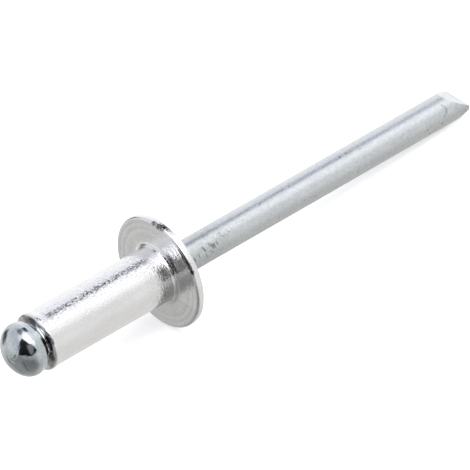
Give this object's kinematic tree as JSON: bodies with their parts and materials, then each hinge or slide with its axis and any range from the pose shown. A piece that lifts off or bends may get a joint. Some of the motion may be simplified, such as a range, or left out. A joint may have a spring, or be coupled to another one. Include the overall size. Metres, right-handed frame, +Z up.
{
  "type": "pop rivet",
  "caption": "Open-end blind rivet: tubular aluminium body with a domed flange on a steel setting mandrel with a round head and chisel tip, lying at rest.",
  "frame": {"origin": "centre of the flange seat, on the rivet's axis", "axes": "+Z up; +X towards the stem tip, whose axis runs 6.58 degrees downhill because the rivet lies on its flange rim and stem; Y along the tip's chisel edge"},
  "size_m": [0.0488, 0.0098, 0.0099],
  "materials": {
    "body_aluminium": "satin",
    "mandrel_zinc_plated_steel": "bright zinc plated"
  },
  "bodies": {
    "root": {"rivet_body": "body_aluminium", "mandrel": "mandrel_zinc_plated_steel"}
  },
  "joints": []
}
